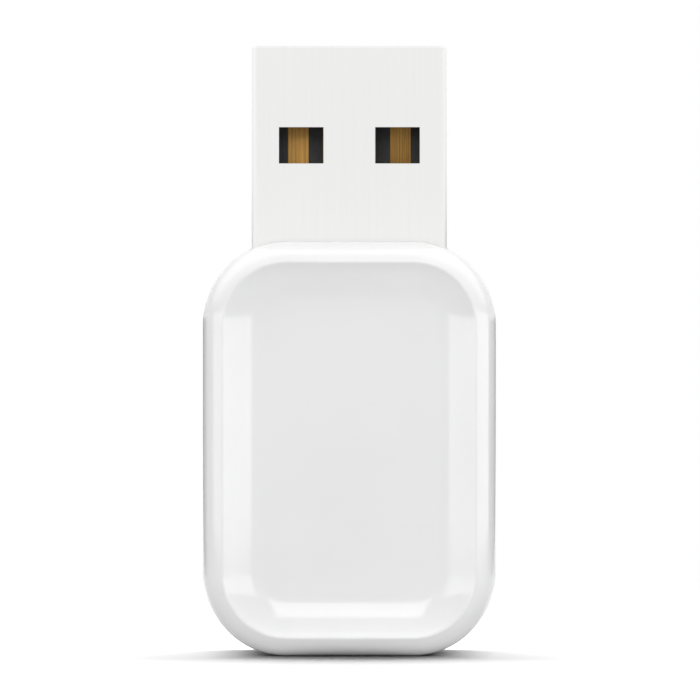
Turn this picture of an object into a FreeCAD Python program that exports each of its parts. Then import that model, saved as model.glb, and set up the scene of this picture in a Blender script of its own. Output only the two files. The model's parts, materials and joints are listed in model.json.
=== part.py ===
import FreeCAD, Part
import math
import os

import Sketcher

# A usb radio stick: a two-part moulded housing with a dished face, standing upright on its flat
# end with the plug pointing up. X is its width, +Y its back and +Z the way the plug points. The
# two covers meet in the plane Y = 0, and the origin is the middle of the flat end.

SIZES = {
    # housing
    "housing_width": 18.0,
    "housing_height": 25.5,
    "corner_radius": 5.15,
    "front_depth": 4.25,
    "rear_depth": 4.25,
    "front_edge_round": 2.0,
    "rear_edge_round": 1.4,
    "wall": 1.1,
    "seam_bevel": 0.12,
    # dished face: the ridge, the slope inside it and the floor
    "ridge_inset": 1.25,
    "ridge_round": 0.2,
    "slope_width": 2.4,
    "dish_depth": 1.0,
    "dish_wall": 0.8,
    # lip of the rear cover inside the rebate of the front cover
    "lip_height": 0.7,
    "lip_thickness": 0.5,
    "lip_clearance": 0.05,
    # posts that carry the board
    "post_diameter": 2.0,
    "post_side_gap": 1.6,
    "low_post_rise": 2.55,
    "high_post_drop": 3.75,
    "pin_diameter": 0.9,
    "pin_reach": 0.6,
    "pin_clearance": 0.05,
    # rails behind the plug and stops below it
    "rail_offset": 3.2,
    "rail_width": 1.0,
    "rail_rise": 0.6,
    "stop_width": 1.2,
    "stop_side_gap": 0.6,
    "stop_height": 0.8,
    "stop_level": 0.2,
    # plug shell
    "plug_width": 12.0,
    "plug_thickness": 4.5,
    "plug_reach": 12.0,
    "plug_inset": 6.75,
    "plug_clearance": 0.05,
    "plug_sheet": 0.3,
    "fold_round": 0.5,
    "tip_bevel": 0.1,
    "window_width": 2.74,
    "window_height": 2.23,
    "window_offset": 2.955,
    "window_drop": 4.98,
    "seam_gap": 0.08,
    "lock_width": 1.5,
    "lock_neck": 1.0,
    "lock_head": 1.8,
    "lock_drop": 9.4,
    "leg_drop": 1.85,
    "leg_rise": 0.7,
    "tab_height": 1.0,
    "tab_reach": 0.3,
    "tab_clearance": 0.1,
    # insulator and contacts
    "mouth_depth": 8.65,
    "tongue_recess": 0.3,
    "nose_bevel": 0.4,
    "contact_width": 1.27,
    "contact_sheet": 0.25,
    "contact_proud": 0.05,
    "contact_clearance": 0.02,
    "outer_contact_offset": 3.15,
    "inner_contact_offset": 1.0,
    "outer_contact_drop": 1.3,
    "inner_contact_drop": 2.3,
    "tail_straight": 0.25,
    "tail_slope": 0.9,
    "tail_foot": 1.1,
    "tail_bend": 0.15,
    # circuit board
    "board_front": 0.9,
    "board_thickness": 1.0,
    "board_gap": 0.25,
    "board_plug_gap": 0.15,
    "board_top_bevel": 0.5,
    # meandering antenna that stands along the board's lower edge
    "antenna_length": 7.9,
    "antenna_height": 2.3,
    "antenna_sheet": 0.3,
    "antenna_rise": 1.6,
    "antenna_lift": 0.3,
    "antenna_foot": 0.7,
    "meander_gap": 0.5,
    "meander_pitch": 1.2,
    "meander_bridge": 0.45,
    "antenna_clearance": 0.1,
    # radio shield can
    "can_width": 7.4,
    "can_length": 5.0,
    "can_height": 1.6,
    "can_sheet": 0.2,
    "can_round": 0.5,
    "can_lid_bevel": 0.15,
    "can_side_gap": 0.35,
    "can_rise": 4.0,
    "vent_width": 0.4,
    "vent_length": 1.0,
    "vent_pitch": 1.5,
    "can_slot_width": 0.8,
    "can_slot_height": 0.25,
    # flat chip packages
    "radio_chip_side": 4.0,
    "radio_chip_height": 0.85,
    "radio_chip_gap": 0.3,
    "bridge_chip_side": 3.0,
    "bridge_chip_height": 0.75,
    "bridge_side_gap": 0.5,
    "bridge_rise": 6.6,
    "crystal_width": 1.6,
    "crystal_length": 2.0,
    "crystal_height": 0.5,
    "crystal_gap": 0.3,
    "filter_width": 2.0,
    "filter_length": 1.1,
    "filter_height": 0.6,
    "chip_bevel": 0.08,
    "chip_corner": 0.3,
    # packages with formed leads
    "package_width": 2.0,
    "package_length": 1.25,
    "package_height": 0.9,
    "package_lift": 0.1,
    "package_bevel": 0.12,
    "lead_span": 2.1,
    "lead_pitch": 0.65,
    "lead_width": 0.35,
    "lead_sheet": 0.15,
    "regulator_side_gap": 1.0,
    "regulator_rise": 4.95,
    "protector_drop": 1.45,
    # small two-ended parts
    "small_length": 1.0,
    "small_width": 0.5,
    "capacitor_height": 0.5,
    "resistor_height": 0.35,
    "inductor_height": 0.5,
    "large_length": 1.6,
    "large_width": 0.8,
    "large_height": 0.8,
    "end_cap": 0.25,
    "end_cap_step": 0.03,
    "part_pitch": 1.5,
    "filter_pitch": 2.0,
    "network_side_gap": 3.7,
    "network_rise": 3.1,
    "column_offset": 1.6,
    "column_pitch": 1.1,
    "supply_rise": 6.25,
    "pull_rise": 8.25,
    "series_offset": 2.0,
}

doc = FreeCAD.newDocument("usb_radio_stick")
sheet = doc.addObject("Spreadsheet::Sheet", "sizes")


class Size:
    """A number and the spreadsheet expression that gives it, so that both come from one formula."""

    def __init__(self, number, text):
        self.number = number
        self.text = text

    def __add__(self, other):
        other = as_size(other)
        return Size(self.number + other.number, f"({self.text} + {other.text})")

    def __sub__(self, other):
        other = as_size(other)
        return Size(self.number - other.number, f"({self.text} - {other.text})")

    def __mul__(self, other):
        other = as_size(other)
        return Size(self.number * other.number, f"({self.text} * {other.text})")

    def __truediv__(self, other):
        other = as_size(other)
        return Size(self.number / other.number, f"({self.text} / {other.text})")

    def __neg__(self):
        return Size(-self.number, f"(-{self.text})")


def as_size(value):
    if isinstance(value, Size):
        return value
    return Size(float(value), f"{float(value)}")


def root(value):
    return Size(math.sqrt(value.number), f"sqrt({value.text})")


class Cells:
    """The sheet's cells, one attribute for each alias."""


size = Cells()
for row, (alias, number) in enumerate(SIZES.items(), start=1):
    sheet.set(f"A{row}", alias.replace("_", " "))
    sheet.set(f"B{row}", str(number))
    sheet.setAlias(f"B{row}", alias)
    setattr(size, alias, Size(number, f"sizes.{alias}"))
doc.recompute()

ZERO = as_size(0)

# Places that several pieces share, each worked out from the sizes once.
half_width = size.housing_width / 2
ridge_run = size.front_edge_round - size.ridge_inset
ridge_level = size.front_depth - size.front_edge_round + root(
    size.front_edge_round * size.front_edge_round - ridge_run * ridge_run)
dish_floor = ridge_level - size.dish_depth
cove_radius = (size.slope_width * size.slope_width + size.dish_depth * size.dish_depth) / (
    size.dish_depth * 2)
front_cavity = dish_floor - size.dish_wall
rear_cavity = size.rear_depth - size.wall

plug_tip = size.housing_height + size.plug_reach
plug_foot = size.housing_height - size.plug_inset
plug_half_width = size.plug_width / 2
plug_half_thickness = size.plug_thickness / 2

board_back = size.board_front + size.board_thickness
board_half_width = half_width - size.wall - size.board_gap
board_bottom = size.wall + size.board_gap
board_top = plug_foot - size.board_plug_gap

post_offset = half_width - size.wall - size.post_side_gap
low_post = board_bottom + size.low_post_rise
high_post = plug_foot - size.high_post_drop
hole_diameter = size.pin_diameter + size.pin_clearance * 2

contact_front = -size.contact_proud
contact_back = size.contact_sheet - size.contact_proud
tail_end = plug_foot - size.tail_straight - size.tail_slope - size.tail_foot

antenna_half_length = size.antenna_length / 2
antenna_place = board_bottom + size.antenna_rise

can_place_x = board_half_width - size.can_side_gap - size.can_width / 2
can_place_z = board_bottom + size.can_rise + size.can_length / 2
can_inner_half_width = size.can_width / 2 - size.can_sheet


def bind(feature, place, value):
    feature.setExpression(place, as_size(value).text)


def new_body(label):
    body = doc.addObject("PartDesign::Body", label)
    body.Label = label
    return body


def origin_feature(body, role):
    return next(feature for feature in body.Origin.OriginFeatures if feature.Role == role)


def new_sketch(body, plane, name, height=ZERO):
    """A sketch on one of the body's own planes, moved by height along that plane's normal.

    The normal of XZ_Plane points to -Y, so a height there is counted towards the front.
    """
    sketch = body.newObject("Sketcher::SketchObject", name)
    sketch.AttachmentSupport = [(origin_feature(body, plane), "")]
    sketch.MapMode = "FlatFace"
    bind(sketch, "AttachmentOffset.Base.z", height)
    return sketch


def constrain(sketch, kind, geometry, point, value):
    """Holds a point of the sketch at a distance from its origin."""
    value = as_size(value)
    index = sketch.addConstraint(Sketcher.Constraint(kind, -1, 1, geometry, point, value.number))
    bind(sketch, f"Constraints[{index}]", value)


def flat_point(x, y):
    return FreeCAD.Vector(as_size(x).number, as_size(y).number, 0)


def draw_polygon(sketch, corners):
    """A closed outline of straight sides, each corner held at its own place."""
    first = sketch.GeometryCount
    points = [flat_point(x, y) for x, y in corners]
    for start, end in zip(points, points[1:] + points[:1]):
        sketch.addGeometry(Part.LineSegment(start, end), False)
    for index, (x, y) in enumerate(corners):
        following = first + (index + 1) % len(corners)
        sketch.addConstraint(Sketcher.Constraint("Coincident", first + index, 2, following, 1))
        constrain(sketch, "DistanceX", first + index, 1, x)
        constrain(sketch, "DistanceY", first + index, 1, y)


def draw_rectangle(sketch, left, right, bottom, top):
    first = sketch.GeometryCount
    corners = [flat_point(left, bottom), flat_point(right, bottom),
               flat_point(right, top), flat_point(left, top)]
    for start, end in zip(corners, corners[1:] + corners[:1]):
        sketch.addGeometry(Part.LineSegment(start, end), False)
    for side in range(4):
        following = first + (side + 1) % 4
        direction = "Vertical" if side % 2 else "Horizontal"
        sketch.addConstraint(Sketcher.Constraint("Coincident", first + side, 2, following, 1))
        sketch.addConstraint(Sketcher.Constraint(direction, first + side))
    constrain(sketch, "DistanceX", first, 1, left)
    constrain(sketch, "DistanceX", first, 2, right)
    constrain(sketch, "DistanceY", first, 1, bottom)
    constrain(sketch, "DistanceY", first + 2, 1, top)


def draw_rounded_rectangle(sketch, left, right, bottom, top, radius):
    """Four sides with tangent corner arcs: side, arc, side, arc and so on from the bottom side."""
    first = sketch.GeometryCount
    turn = radius.number
    low = flat_point(left, bottom)
    high = flat_point(right, top)
    centres = [(high.x - turn, low.y + turn), (high.x - turn, high.y - turn),
               (low.x + turn, high.y - turn), (low.x + turn, low.y + turn)]
    sides = [((low.x + turn, low.y), (high.x - turn, low.y)),
             ((high.x, low.y + turn), (high.x, high.y - turn)),
             ((high.x - turn, high.y), (low.x + turn, high.y)),
             ((low.x, high.y - turn), (low.x, low.y + turn))]
    normal = FreeCAD.Vector(0, 0, 1)
    for index, (start, end) in enumerate(sides):
        side = Part.LineSegment(FreeCAD.Vector(*start, 0), FreeCAD.Vector(*end, 0))
        circle = Part.Circle(FreeCAD.Vector(*centres[index], 0), normal, turn)
        angle = math.pi / 2 * (index - 1)
        sketch.addGeometry(side, False)
        sketch.addGeometry(Part.ArcOfCircle(circle, angle, angle + math.pi / 2), False)
    for index in range(4):
        side = first + 2 * index
        following = first + (2 * index + 2) % 8
        direction = "Vertical" if index % 2 else "Horizontal"
        sketch.addConstraint(Sketcher.Constraint("Tangent", side, 2, side + 1, 1))
        sketch.addConstraint(Sketcher.Constraint("Tangent", side + 1, 2, following, 1))
        sketch.addConstraint(Sketcher.Constraint(direction, side))
        if index > 0:
            sketch.addConstraint(Sketcher.Constraint("Equal", first + 1, side + 1))
    datum = sketch.addConstraint(Sketcher.Constraint("Radius", first + 1, turn))
    bind(sketch, f"Constraints[{datum}]", radius)
    constrain(sketch, "DistanceY", first, 1, bottom)
    constrain(sketch, "DistanceX", first + 2, 1, right)
    constrain(sketch, "DistanceY", first + 4, 1, top)
    constrain(sketch, "DistanceX", first + 6, 1, left)


def draw_circle(sketch, x, y, diameter):
    circle = Part.Circle(flat_point(x, y), FreeCAD.Vector(0, 0, 1), diameter.number / 2)
    index = sketch.addGeometry(circle, False)
    datum = sketch.addConstraint(Sketcher.Constraint("Diameter", index, diameter.number))
    bind(sketch, f"Constraints[{datum}]", diameter)
    constrain(sketch, "DistanceX", index, 3, x)
    constrain(sketch, "DistanceY", index, 3, y)


def extrude(body, kind, sketch, name, length, reverse, both_sides):
    feature = body.newObject(kind, name)
    feature.Profile = sketch
    feature.Reversed = reverse
    if both_sides:
        feature.SideType = "Symmetric"
    if length is None:
        feature.Type = "ThroughAll"
    else:
        bind(feature, "Length", length)
    return feature


def pad(body, sketch, name, length, reverse=False, both_sides=False):
    """Grows along the sketch's normal, or against it when reversed."""
    return extrude(body, "PartDesign::Pad", sketch, name, length, reverse, both_sides)


def pocket(body, sketch, name, length=None, reverse=False, both_sides=False):
    """Cuts against the sketch's normal, or along it when reversed; without a length, right through."""
    return extrude(body, "PartDesign::Pocket", sketch, name, length, reverse, both_sides)


def near(value, target):
    return abs(value - as_size(target).number) < 0.002


def lying_in(axis, place):
    """A test for edges that lie in the plane at that place along the axis."""
    def test(box):
        return near(getattr(box, axis + "Min"), place) and near(getattr(box, axis + "Max"), place)
    return test


def along(axis, first_axis, first_place, second_axis, second_place):
    """A test for straight edges along one axis at a place given by the two others."""
    def test(box):
        long_enough = getattr(box, axis + "Length") > 0.01
        return (long_enough and lying_in(first_axis, first_place)(box)
                and lying_in(second_axis, second_place)(box))
    return test


def dress_edges(body, kind, name, measure, value, test):
    """A fillet or chamfer on the edges of the body so far that pass the test."""
    doc.recompute()
    base = body.Tip
    edges = [f"Edge{index}" for index, edge in enumerate(base.Shape.Edges, start=1)
             if test(edge.BoundBox)]
    if not edges:
        raise RuntimeError(f"{body.Label}: no edges for {name}")
    feature = body.newObject(kind, name)
    feature.Base = (base, edges)
    bind(feature, measure, value)


def round_edges(body, name, radius, test):
    dress_edges(body, "PartDesign::Fillet", name, "Radius", radius, test)


def bevel_edges(body, name, width, test):
    dress_edges(body, "PartDesign::Chamfer", name, "Size", width, test)


def draw_housing_outline(sketch, inset):
    """The housing's outline, moved inwards by inset."""
    draw_rounded_rectangle(
        sketch, inset - half_width, half_width - inset, inset, size.housing_height - inset,
        size.corner_radius - inset)


def draw_posts(sketch, diameter):
    for x in (-post_offset, post_offset):
        draw_circle(sketch, x, low_post, diameter)
        draw_circle(sketch, x, high_post, diameter)


def draw_pins(sketch, diameter):
    """Circles on the two posts that locate the board, which lie across a diagonal."""
    draw_circle(sketch, -post_offset, low_post, diameter)
    draw_circle(sketch, post_offset, high_post, diameter)


def draw_plug_bay(sketch):
    """The room that the plug takes up in the housing, open at the top."""
    reach = plug_half_width + size.plug_clearance
    draw_rectangle(sketch, -reach, reach, plug_foot - size.plug_clearance, plug_tip)


def make_dish_tool():
    """The body that the dished face is cut with: a flat floor, and a cove up its sides."""
    body = new_body("dish_tool")
    outline = new_sketch(body, "XZ_Plane", "dish_outline", dish_floor)
    draw_housing_outline(outline, size.ridge_inset + size.slope_width - cove_radius)
    pad(body, outline, "dish_blank", cove_radius + size.front_edge_round)
    round_edges(body, "cove", cove_radius, lying_in("Y", -dish_floor))
    return body


def make_front_cover():
    body = new_body("front_cover")
    outline = new_sketch(body, "XZ_Plane", "front_outline")
    draw_housing_outline(outline, ZERO)
    pad(body, outline, "front_blank", size.front_depth)
    round_edges(body, "front_edge", size.front_edge_round, lying_in("Y", -size.front_depth))
    bevel_edges(body, "front_seam", size.seam_bevel, lying_in("Y", ZERO))
    dish = body.newObject("PartDesign::Boolean", "dish")
    dish.Type = "Cut"
    dish.Group = [make_dish_tool()]
    round_edges(body, "ridge", size.ridge_round, lying_in("Y", -ridge_level))

    hollow = new_sketch(body, "XZ_Plane", "front_hollow_outline")
    draw_housing_outline(hollow, size.wall)
    pocket(body, hollow, "front_hollow", front_cavity, reverse=True)
    rebate = new_sketch(body, "XZ_Plane", "rebate_outline")
    draw_housing_outline(rebate, size.wall - size.lip_thickness - size.lip_clearance)
    pocket(body, rebate, "rebate", size.lip_height + size.lip_clearance, reverse=True)
    mouth = new_sketch(body, "XZ_Plane", "front_mouth_outline")
    draw_plug_bay(mouth)
    pocket(body, mouth, "front_mouth", plug_half_thickness + size.plug_clearance, reverse=True)

    pillars = new_sketch(body, "XZ_Plane", "pillar_outlines", -size.board_front)
    draw_pins(pillars, size.post_diameter)
    pad(body, pillars, "pillars", size.board_front + front_cavity + size.dish_wall / 2)
    sockets = new_sketch(body, "XZ_Plane", "socket_outlines", -size.board_front)
    draw_pins(sockets, hole_diameter)
    pocket(body, sockets, "sockets", size.pin_reach + size.pin_clearance, reverse=True)
    stops = new_sketch(body, "XZ_Plane", "stop_outlines", size.stop_level)
    near_side = plug_half_width - size.stop_side_gap - size.stop_width
    far_side = plug_half_width - size.stop_side_gap
    draw_rectangle(stops, -far_side, -near_side, plug_foot - size.stop_height, plug_foot)
    draw_rectangle(stops, near_side, far_side, plug_foot - size.stop_height, plug_foot)
    pad(body, stops, "stops", front_cavity - size.stop_level + size.dish_wall / 2)
    return body


def make_rear_cover():
    body = new_body("rear_cover")
    outline = new_sketch(body, "XZ_Plane", "rear_outline")
    draw_housing_outline(outline, ZERO)
    pad(body, outline, "rear_blank", size.rear_depth, reverse=True)
    round_edges(body, "rear_edge", size.rear_edge_round, lying_in("Y", size.rear_depth))
    bevel_edges(body, "rear_seam", size.seam_bevel, lying_in("Y", ZERO))

    hollow = new_sketch(body, "XZ_Plane", "rear_hollow_outline")
    draw_housing_outline(hollow, size.wall)
    pocket(body, hollow, "rear_hollow", rear_cavity)
    lip = new_sketch(body, "XZ_Plane", "lip_outline")
    draw_housing_outline(lip, size.wall - size.lip_thickness)
    draw_housing_outline(lip, size.wall)
    pad(body, lip, "lip", size.lip_height)
    mouth = new_sketch(body, "XZ_Plane", "rear_mouth_outline", size.lip_height * 2)
    draw_plug_bay(mouth)
    pocket(body, mouth, "rear_mouth",
           size.lip_height * 2 + plug_half_thickness + size.plug_clearance)

    posts = new_sketch(body, "XZ_Plane", "post_outlines", -board_back)
    draw_posts(posts, size.post_diameter)
    pad(body, posts, "posts", rear_cavity - board_back + size.wall / 2, reverse=True)
    pins = new_sketch(body, "XZ_Plane", "pin_outlines", -board_back)
    draw_pins(pins, size.pin_diameter)
    pad(body, pins, "pins", size.board_thickness + size.pin_reach)
    rails = new_sketch(body, "XZ_Plane", "rail_outlines", -plug_half_thickness)
    rail_top = size.housing_height - size.wall
    for middle in (-size.rail_offset, size.rail_offset):
        draw_rectangle(rails, middle - size.rail_width / 2, middle + size.rail_width / 2,
                       plug_foot + size.rail_rise, rail_top)
    pad(body, rails, "rails", rear_cavity - plug_half_thickness + size.wall / 2, reverse=True)
    return body


def make_plug_shell():
    """A folded sheet: closed by a dovetailed seam at its back, with a soldered leg at each side."""
    body = new_body("plug_shell")
    inner_half_width = plug_half_width - size.plug_sheet
    outline = new_sketch(body, "XY_Plane", "shell_outline", plug_foot)
    draw_rounded_rectangle(outline, -plug_half_width, plug_half_width,
                           -plug_half_thickness, plug_half_thickness, size.fold_round)
    pad(body, outline, "shell_blank", plug_tip - plug_foot)
    bevel_edges(body, "tip_bevel", size.tip_bevel, lying_in("Z", plug_tip))
    bore = new_sketch(body, "XY_Plane", "shell_bore_outline", plug_tip)
    draw_plug_bore(bore)
    pocket(body, bore, "shell_bore")

    windows = new_sketch(body, "XZ_Plane", "window_outlines")
    window_top = plug_tip - size.window_drop
    for middle in (-size.window_offset, size.window_offset):
        draw_rectangle(windows, middle - size.window_width / 2, middle + size.window_width / 2,
                       window_top - size.window_height, window_top)
    pocket(body, windows, "windows", both_sides=True)
    seam = new_sketch(body, "XZ_Plane", "seam_outline")
    draw_polygon(seam, seam_corners())
    pocket(body, seam, "seam")

    leg = new_sketch(body, "YZ_Plane", "leg_outline", inner_half_width)
    leg_foot = plug_foot - size.leg_drop
    leg_side = size.board_front - size.tab_clearance
    draw_polygon(leg, [
        (-size.leg_rise, plug_foot),
        (-size.leg_rise, leg_foot),
        (board_back + size.tab_reach, leg_foot),
        (board_back + size.tab_reach, leg_foot + size.tab_height),
        (leg_side, leg_foot + size.tab_height),
        (leg_side, plug_foot),
    ])
    right_leg = pad(body, leg, "right_leg", size.plug_sheet)
    left_leg = body.newObject("PartDesign::Mirrored", "left_leg")
    left_leg.Originals = [right_leg]
    left_leg.MirrorPlane = (origin_feature(body, "YZ_Plane"), [""])
    body.Tip = left_leg
    return body


def draw_plug_bore(sketch):
    """The inside of the plug shell, which the insulator fills."""
    half_across = plug_half_width - size.plug_sheet
    half_through = plug_half_thickness - size.plug_sheet
    draw_rounded_rectangle(sketch, -half_across, half_across, -half_through, half_through,
                           size.fold_round - size.plug_sheet)


def seam_corners():
    """The slit between the sheet's two edges: straight, with one dovetail tongue to the right."""
    half_gap = size.seam_gap / 2
    lock_middle = plug_tip - size.lock_drop
    neck = size.lock_neck / 2
    head = size.lock_head / 2
    return [
        (-half_gap, plug_foot),
        (half_gap, plug_foot),
        (half_gap, lock_middle - neck - size.seam_gap),
        (size.lock_width + half_gap, lock_middle - head - size.seam_gap),
        (size.lock_width + half_gap, lock_middle + head + size.seam_gap),
        (half_gap, lock_middle + neck + size.seam_gap),
        (half_gap, plug_tip),
        (-half_gap, plug_tip),
        (-half_gap, lock_middle + neck),
        (size.lock_width - half_gap, lock_middle + head),
        (size.lock_width - half_gap, lock_middle - head),
        (-half_gap, lock_middle - neck),
    ]


def make_plug_insulator():
    """One moulding: a block that fills the shell's foot, and a tongue that carries the contacts."""
    body = new_body("plug_insulator")
    tongue_end = plug_tip - size.tongue_recess
    outline = new_sketch(body, "XY_Plane", "insulator_outline", plug_foot)
    draw_plug_bore(outline)
    pad(body, outline, "insulator_blank", tongue_end - plug_foot)
    mouth = new_sketch(body, "XY_Plane", "mouth_outline", plug_tip)
    draw_rectangle(mouth, -plug_half_width, plug_half_width, -plug_half_thickness, ZERO)
    pocket(body, mouth, "mouth", size.mouth_depth)
    bevel_edges(body, "nose", size.nose_bevel, along("X", "Y", ZERO, "Z", tongue_end))
    for name, offset, drop in (("outer", size.outer_contact_offset, size.outer_contact_drop),
                               ("inner", size.inner_contact_offset, size.inner_contact_drop)):
        channels = new_sketch(body, "XY_Plane", f"{name}_channel_outlines", plug_foot)
        reach = size.contact_width / 2 + size.contact_clearance
        for middle in (-offset, offset):
            draw_rectangle(channels, middle - reach, middle + reach,
                           contact_front - size.contact_clearance, contact_back)
        pocket(body, channels, f"{name}_channels",
               plug_tip - drop + size.contact_clearance - plug_foot, reverse=True)
    return body


def make_contact(label, offset, drop):
    """A strip let into the tongue, whose tail steps back and lies flat on the board."""
    body = new_body(label)
    bend_top = plug_foot - size.tail_straight
    bend_end = bend_top - size.tail_slope
    step = size.board_front - contact_back
    slope_length = root(step * step + size.tail_slope * size.tail_slope)
    mitre = size.contact_sheet * (slope_length - size.tail_slope) / step
    profile = new_sketch(body, "YZ_Plane", f"{label}_profile")
    draw_polygon(profile, [
        (contact_front, plug_tip - drop),
        (contact_front, bend_top),
        (contact_front + step, bend_end),
        (contact_front + step, tail_end),
        (size.board_front, tail_end),
        (size.board_front, bend_end + mitre),
        (contact_back, bend_top + mitre),
        (contact_back, plug_tip - drop),
    ])
    pad(body, profile, f"{label}_strip", size.contact_width, both_sides=True)
    inner_bends = (along("X", "Y", contact_back, "Z", bend_top + mitre),
                   along("X", "Y", contact_front + step, "Z", bend_end))
    outer_bends = (along("X", "Y", contact_front, "Z", bend_top),
                   along("X", "Y", size.board_front, "Z", bend_end + mitre))
    round_edges(body, f"{label}_inner_bends", size.tail_bend,
                lambda box: any(bend(box) for bend in inner_bends))
    round_edges(body, f"{label}_outer_bends", size.tail_bend + size.contact_sheet,
                lambda box: any(bend(box) for bend in outer_bends))
    bind(body, "Placement.Base.x", offset)
    return body


def make_circuit_board():
    body = new_body("circuit_board")
    outline = new_sketch(body, "XZ_Plane", "board_outline", -size.board_front)
    draw_rectangle(outline, -board_half_width, board_half_width, board_bottom, board_top)
    pad(body, outline, "board_blank", size.board_thickness, reverse=True)
    left_side = lying_in("X", -board_half_width)
    right_side = lying_in("X", board_half_width)
    low_end = lying_in("Z", board_bottom)
    high_end = lying_in("Z", board_top)
    round_edges(body, "low_corners", size.corner_radius - size.wall - size.board_gap,
                lambda box: low_end(box) and (left_side(box) or right_side(box)))
    bevel_edges(body, "high_corners", size.board_top_bevel,
                lambda box: high_end(box) and (left_side(box) or right_side(box)))

    openings = new_sketch(body, "XZ_Plane", "board_openings")
    draw_pins(openings, hole_diameter)
    slot_near = plug_half_width - size.plug_sheet - size.tab_clearance
    slot_far = plug_half_width + size.tab_clearance
    slot_foot = plug_foot - size.leg_drop - size.tab_clearance
    slot_top = plug_foot - size.leg_drop + size.tab_height + size.tab_clearance
    draw_rectangle(openings, -slot_far, -slot_near, slot_foot, slot_top)
    draw_rectangle(openings, slot_near, slot_far, slot_foot, slot_top)
    half_slot = size.antenna_sheet / 2 + size.antenna_clearance
    for left in (-antenna_half_length, antenna_half_length - size.antenna_foot):
        draw_rectangle(openings, left - size.antenna_clearance,
                       left + size.antenna_foot + size.antenna_clearance,
                       antenna_place - half_slot, antenna_place + half_slot)
    pocket(body, openings, "openings", both_sides=True)
    return body


def place_on_board(body, x, z, back=False, turned=False):
    """Stands a piece that was drawn on its XY plane on the board's front or back face."""
    up = FreeCAD.Vector(0, 0, 1)
    tilt = FreeCAD.Rotation(FreeCAD.Vector(1, 0, 0), -90 if back else 90)
    turn = FreeCAD.Rotation(up, 90 if turned else 0)
    body.Placement = FreeCAD.Placement(FreeCAD.Vector(), tilt * turn)
    bind(body, "Placement.Base.x", x)
    bind(body, "Placement.Base.y", board_back if back else size.board_front)
    bind(body, "Placement.Base.z", z)


def make_antenna():
    """A stamped strip on edge: gaps cut from both sides in turn, and a foot at each end."""
    body = new_body("antenna")
    low = size.antenna_lift
    high = size.antenna_lift + size.antenna_height
    outline = new_sketch(body, "XZ_Plane", "antenna_outline")
    draw_rectangle(outline, -antenna_half_length, antenna_half_length, low, high)
    pad(body, outline, "antenna_blank", size.antenna_sheet, both_sides=True)
    feet = new_sketch(body, "XZ_Plane", "foot_outlines")
    for left in (-antenna_half_length, antenna_half_length - size.antenna_foot):
        draw_rectangle(feet, left, left + size.antenna_foot,
                       -size.board_thickness - size.tab_reach, low)
    pad(body, feet, "feet", size.antenna_sheet, both_sides=True)
    cut_gaps(body, "low_gaps", 3, low, high - size.meander_bridge)
    cut_gaps(body, "high_gaps", 2, low + size.meander_bridge, high)
    place_on_board(body, ZERO, antenna_place)
    return body


def cut_gaps(body, name, count, foot, top):
    """A row of gaps two pitches apart, centred on the strip."""
    start = -size.meander_pitch * (count - 1)
    outline = new_sketch(body, "XZ_Plane", f"{name}_outline")
    draw_rectangle(outline, start - size.meander_gap / 2, start + size.meander_gap / 2, foot, top)
    first_gap = pocket(body, outline, f"{name}_first", both_sides=True)
    repeat(body, name, first_gap, outline, count, size.meander_pitch * 2 * (count - 1))


def repeat(body, name, feature, sketch, count, length):
    """Copies of a feature, spread evenly over a length along its sketch's horizontal axis."""
    pattern = body.newObject("PartDesign::LinearPattern", name)
    pattern.Originals = [feature]
    pattern.Direction = (sketch, ["H_Axis"])
    pattern.Occurrences = count
    bind(pattern, "Length", length)
    body.Tip = pattern


def make_shield_can():
    body = new_body("radio_shield_can")
    half_across = size.can_width / 2
    half_along = size.can_length / 2
    outline = new_sketch(body, "XY_Plane", "can_outline")
    draw_rounded_rectangle(outline, -half_across, half_across, -half_along, half_along,
                           size.can_round)
    pad(body, outline, "can_blank", size.can_height)
    bevel_edges(body, "can_lid_edge", size.can_lid_bevel, lying_in("Z", size.can_height))
    inside = new_sketch(body, "XY_Plane", "can_inside")
    draw_rectangle(inside, -can_inner_half_width, can_inner_half_width,
                   size.can_sheet - half_along, half_along - size.can_sheet)
    pocket(body, inside, "can_hollow", size.can_height - size.can_sheet, reverse=True)
    vent = new_sketch(body, "XY_Plane", "vent_outline", size.can_height)
    draw_rectangle(vent, -size.vent_pitch - size.vent_width / 2,
                   size.vent_width / 2 - size.vent_pitch,
                   -size.vent_length / 2, size.vent_length / 2)
    first_vent = pocket(body, vent, "first_vent", size.can_sheet)
    repeat(body, "vents", first_vent, vent, 3, size.vent_pitch * 2)
    slots = new_sketch(body, "XZ_Plane", "can_slot")
    draw_rectangle(slots, -size.can_slot_width / 2, size.can_slot_width / 2,
                   ZERO, size.can_slot_height)
    pocket(body, slots, "can_slots", both_sides=True)
    place_on_board(body, can_place_x, can_place_z)
    return body


def make_flat_chip(label, width, length, height):
    """A leadless package with a bevelled lid and one corner cut off, which marks its first pad."""
    body = new_body(label)
    outline = new_sketch(body, "XY_Plane", f"{label}_outline")
    draw_rectangle(outline, -width / 2, width / 2, -length / 2, length / 2)
    pad(body, outline, f"{label}_blank", height)
    bevel_edges(body, f"{label}_corner", size.chip_corner,
                along("Z", "X", -width / 2, "Y", length / 2))
    bevel_edges(body, f"{label}_bevel", size.chip_bevel, lying_in("Z", height))
    return body


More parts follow.
